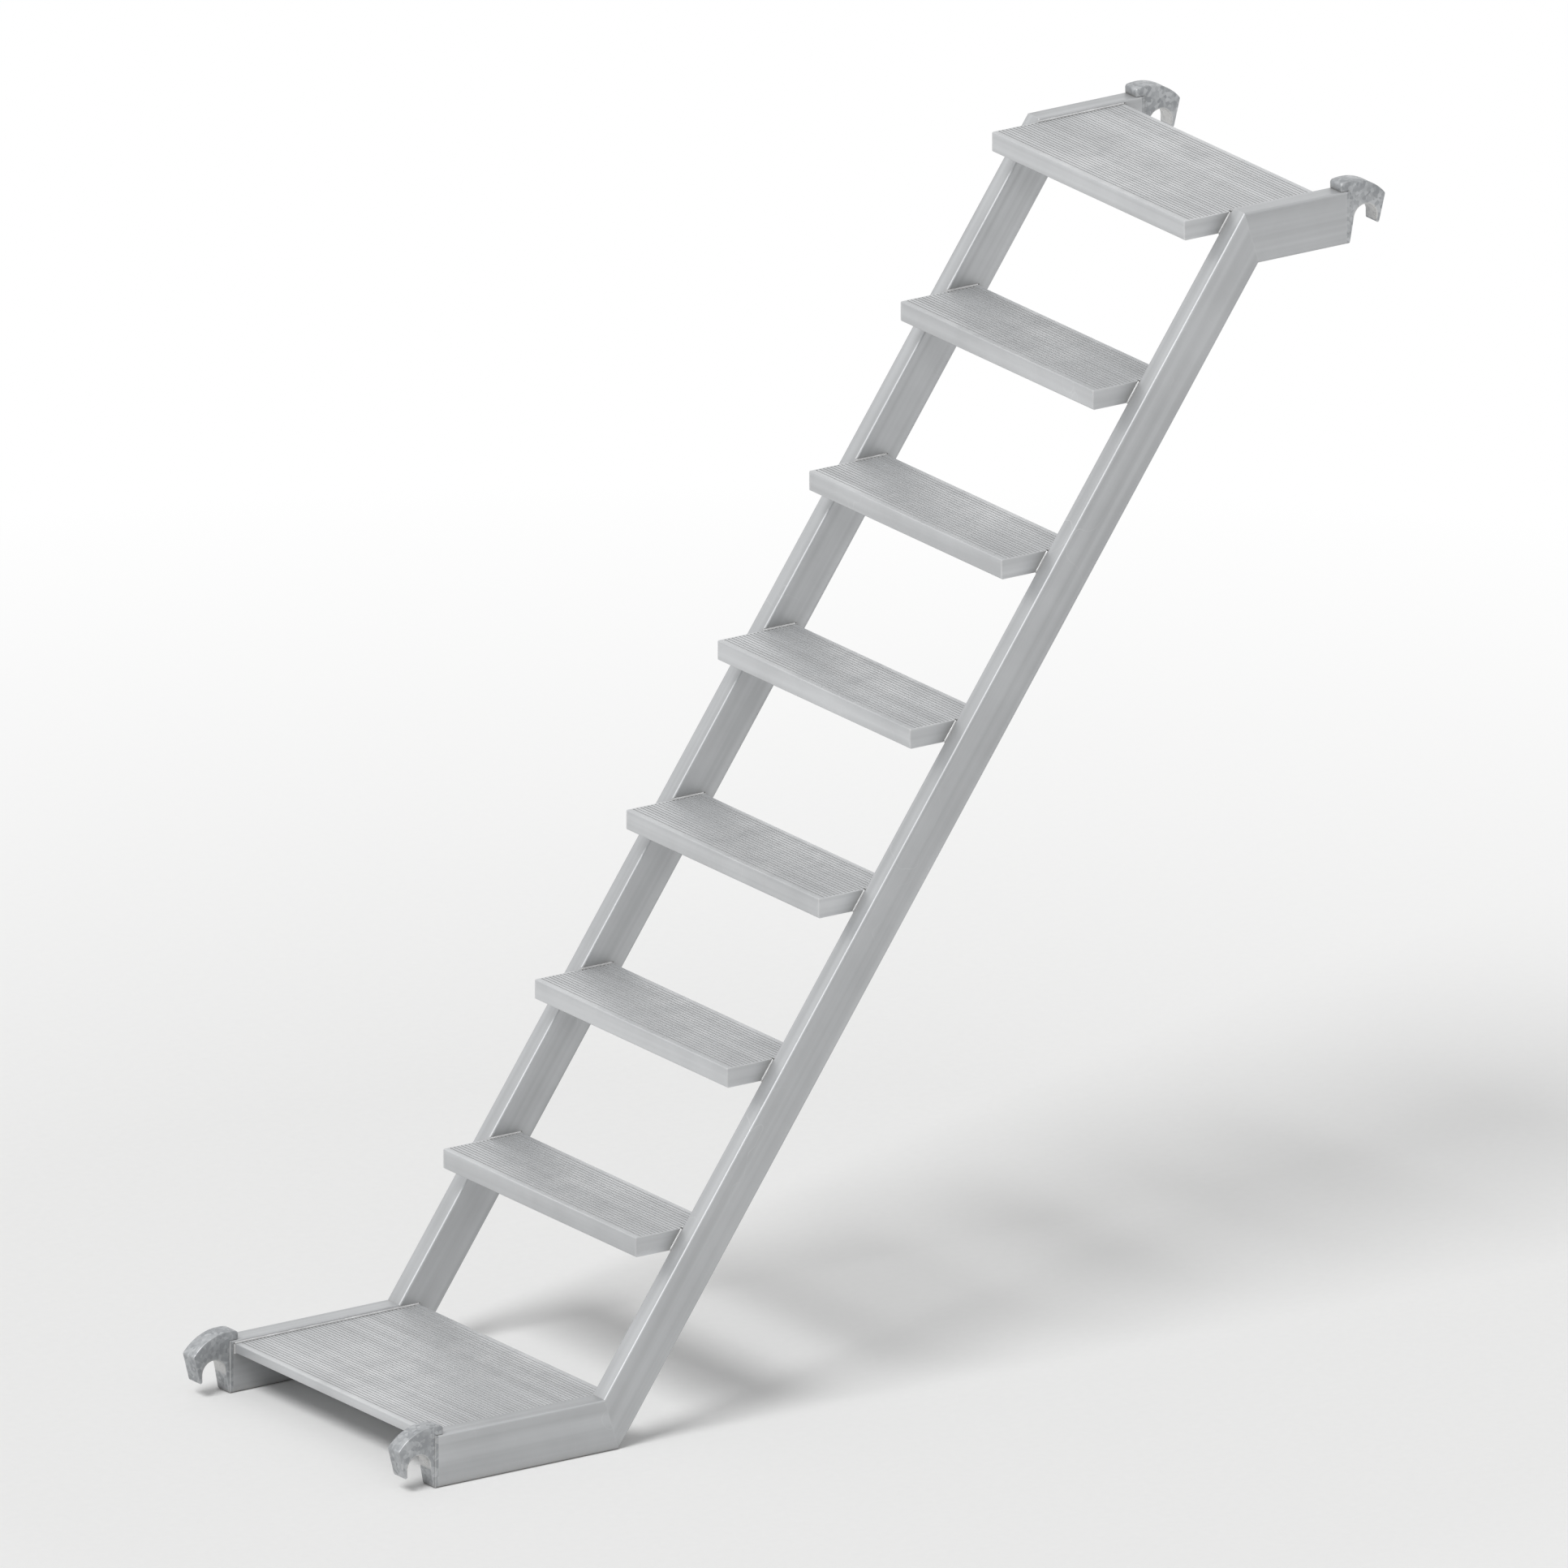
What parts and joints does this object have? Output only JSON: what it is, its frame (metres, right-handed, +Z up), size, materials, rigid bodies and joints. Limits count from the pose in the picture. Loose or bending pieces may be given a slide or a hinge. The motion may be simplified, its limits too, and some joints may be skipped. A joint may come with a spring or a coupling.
{
  "type": "scaffold stair flight",
  "caption": "Scaffold stair flight: cranked box stringers, plank treads, a landing at each end, and claw hooks that drop over scaffold tubes.",
  "frame": {"origin": "on the axis of the lower scaffold tube, midway between the stringers", "axes": "+X is the direction of travel up the stair, +Y is to the left of travel and runs along the tubes, +Z is up"},
  "size_m": [2.1572, 0.7, 2.118],
  "materials": {
    "stringer_aluminium": "pale mill finish, fine lengthwise extrusion lines",
    "tread_aluminium": "pale mill finish with anti-slip ribs",
    "hook_steel": "matt hot-dip galvanised"
  },
  "bodies": {
    "root": {"left_lower_stringer": "stringer_aluminium", "left_raked_stringer": "stringer_aluminium", "left_upper_stringer": "stringer_aluminium", "right_lower_stringer": "stringer_aluminium", "right_raked_stringer": "stringer_aluminium", "right_upper_stringer": "stringer_aluminium", "left_lower_head_plate": "hook_steel", "right_lower_head_plate": "hook_steel", "left_upper_head_plate": "hook_steel", "right_upper_head_plate": "hook_steel", "left_lower_hook": "hook_steel", "right_lower_hook": "hook_steel", "left_upper_hook": "hook_steel", "right_upper_hook": "hook_steel", "lower_landing": "tread_aluminium", "upper_landing": "tread_aluminium", "tread_1": "tread_aluminium", "tread_2": "tread_aluminium", "tread_3": "tread_aluminium", "tread_4": "tread_aluminium", "tread_5": "tread_aluminium", "tread_6": "tread_aluminium", "left_tread_end_plates": "tread_aluminium", "right_tread_end_plates": "tread_aluminium"}
  },
  "joints": []
}
